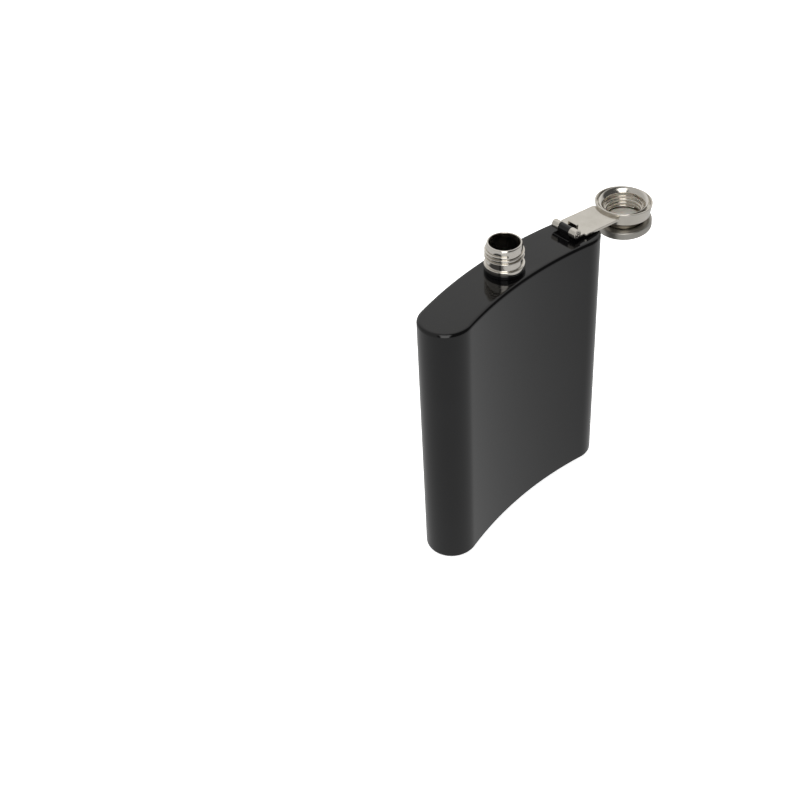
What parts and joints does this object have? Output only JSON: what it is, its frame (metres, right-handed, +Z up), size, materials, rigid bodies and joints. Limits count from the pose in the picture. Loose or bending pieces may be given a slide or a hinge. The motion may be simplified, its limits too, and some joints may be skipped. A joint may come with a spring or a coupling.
{
  "type": "hip flask",
  "caption": "Curved slim steel hip flask, black gloss paint, with a nickel screw cap held captive on a hinged arm, shown open.",
  "frame": {"origin": "middle of the bottom face, on the middle of the curved section", "axes": "+Z up to the mouth; the bulging face looks along -Y and the hollow hip side along +Y; the cap's hinge is on the -X side of the neck"},
  "size_m": [0.1231, 0.0279, 0.1209],
  "materials": {
    "black_gloss": "gloss",
    "nickel": "polished",
    "satin_nickel": "satin",
    "seal_rubber": "matt"
  },
  "bodies": {
    "flask": {"body_shell": "black_gloss", "top_plate": "black_gloss", "bottom_plate": "black_gloss", "neck_collar": "black_gloss", "threaded_spout": "nickel", "hinge_bracket": "black_gloss"},
    "hinge_pin": {"hinge_pin": "nickel"},
    "arm": {"captive_arm": "nickel"},
    "seal": {"cap_seal": "seal_rubber"},
    "cap": {"cap_shell": "nickel", "cap_thread_insert": "nickel", "cap_crown": "satin_nickel"}
  },
  "joints": [
    {"name": "arm_swing", "type": "hinge", "parent": "flask", "child": "hinge_pin", "pos_m": [-0.0322, 0.00313, 0.1119], "axis": [0.0968, 0.9953, 0], "range_deg": [0, 175.57]},
    {"name": "arm_follow", "type": "hinge", "parent": "hinge_pin", "child": "arm", "pos_m": [-0.0322, 0.00313, 0.1119], "axis": [0.0968, 0.9953, 0], "range_deg": [0, 5.75]},
    {"name": "cap_advance", "type": "slide", "parent": "hinge_pin", "child": "seal", "axis": [0.0768, -0.0075, 0.997], "range_m": [0, 0.003]},
    {"name": "cap_screw", "type": "hinge", "parent": "seal", "child": "cap", "pos_m": [-0.06431, 0.00625, 0.1143], "axis": [0.0768, -0.0075, 0.997], "range_deg": [0, 720.5]}
  ],
  "couplings": [
    {"joint": "arm_follow", "follows": "cap_advance", "rad_per_m": 33.312},
    {"joint": "cap_screw", "follows": "cap_advance", "rad_per_m": 4188.8}
  ]
}
